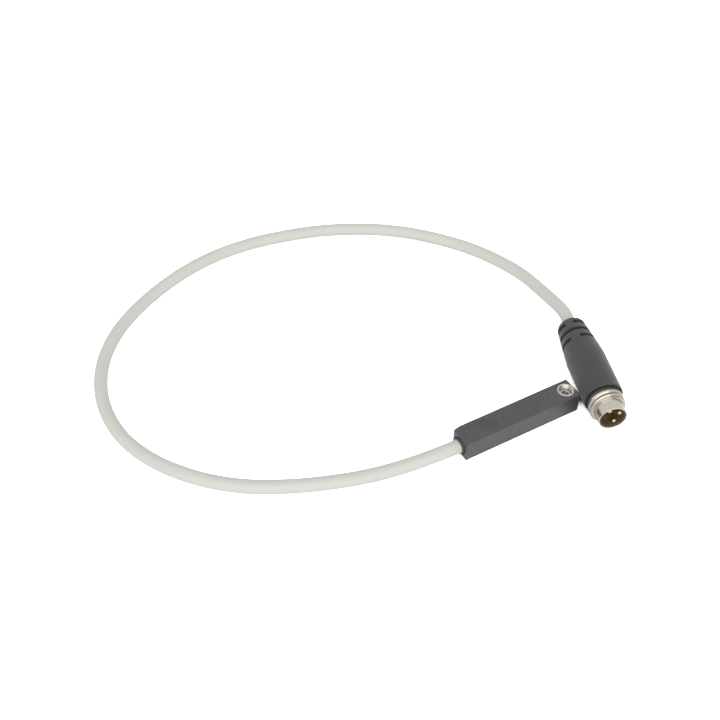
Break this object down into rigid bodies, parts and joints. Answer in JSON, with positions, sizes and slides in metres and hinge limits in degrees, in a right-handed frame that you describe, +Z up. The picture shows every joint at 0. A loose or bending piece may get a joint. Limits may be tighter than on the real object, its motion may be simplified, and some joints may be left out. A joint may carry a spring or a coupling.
{
  "type": "cylinder position sensor",
  "caption": "Slim bar-shaped magnetic position sensor for a cylinder's slot, with a clamp screw at one end and a short grey lead to a round threaded plug.",
  "frame": {"origin": "centre of the sensor head's underside, on the surface that the part lies on", "axes": "+X along the head from the cable to the clamp screw, +Z up out of the head's top face, which holds the screw and the indicator"},
  "size_m": [0.1062, 0.0959, 0.0086],
  "materials": {
    "housing_plastic": "fine satin, moulded",
    "window_plastic": "smoked translucent",
    "bushing_plastic": "satin",
    "plated_insert": "bright nickel plate",
    "screw_steel": "bright stainless",
    "board_laminate": "solder mask",
    "led_epoxy": "clear epoxy",
    "chip_epoxy": "moulded epoxy",
    "capacitor_ceramic": "ceramic",
    "resistor_ceramic": "ceramic",
    "potting_resin": "cast resin",
    "cable_sheath": "satin extruded",
    "brown_insulation": "extruded",
    "blue_insulation": "extruded",
    "black_insulation": "extruded",
    "grip_elastomer": "fine satin, moulded",
    "mould_plastic": "moulded",
    "carrier_plastic": "moulded",
    "plated_sleeve": "bright nickel plate",
    "plated_ring": "bright nickel plate",
    "seal_rubber": "matt",
    "contact_gold": "gold plate"
  },
  "bodies": {
    "root": {"head_housing": "housing_plastic", "indicator_window": "window_plastic", "cable_bushing": "bushing_plastic", "threaded_insert": "plated_insert", "circuit_board": "board_laminate", "indicator_led": "led_epoxy", "magnetic_sensor_chip": "chip_epoxy", "output_driver_chip": "chip_epoxy", "filter_capacitor": "capacitor_ceramic", "resistor_1": "resistor_ceramic", "resistor_2": "resistor_ceramic", "protection_diode": "chip_epoxy", "potting": "potting_resin", "cable_jacket": "cable_sheath", "wire_brown": "brown_insulation", "wire_blue": "blue_insulation", "wire_black": "black_insulation", "plug_grip": "grip_elastomer", "inner_mould": "mould_plastic", "contact_carrier": "carrier_plastic", "contact_sleeve": "plated_sleeve", "seal_ring": "seal_rubber", "contact_pin_1": "contact_gold", "contact_pin_3": "contact_gold", "contact_pin_4": "contact_gold"},
    "clamp_screw": {"clamp_screw": "screw_steel"},
    "coupling_ring": {"coupling_ring": "plated_ring"}
  },
  "joints": [
    {"name": "clamp_screw_turn", "type": "hinge", "parent": "root", "child": "clamp_screw", "pos_m": [0.01235, 0, 0], "axis": [0, 0, 1], "range_deg": [-720, 0]},
    {"name": "coupling_ring_turn", "type": "hinge", "parent": "root", "child": "coupling_ring", "pos_m": [0.01802, -0.00646, 0.0043], "axis": [-0.3355, -0.9421, 0], "continuous": true}
  ]
}
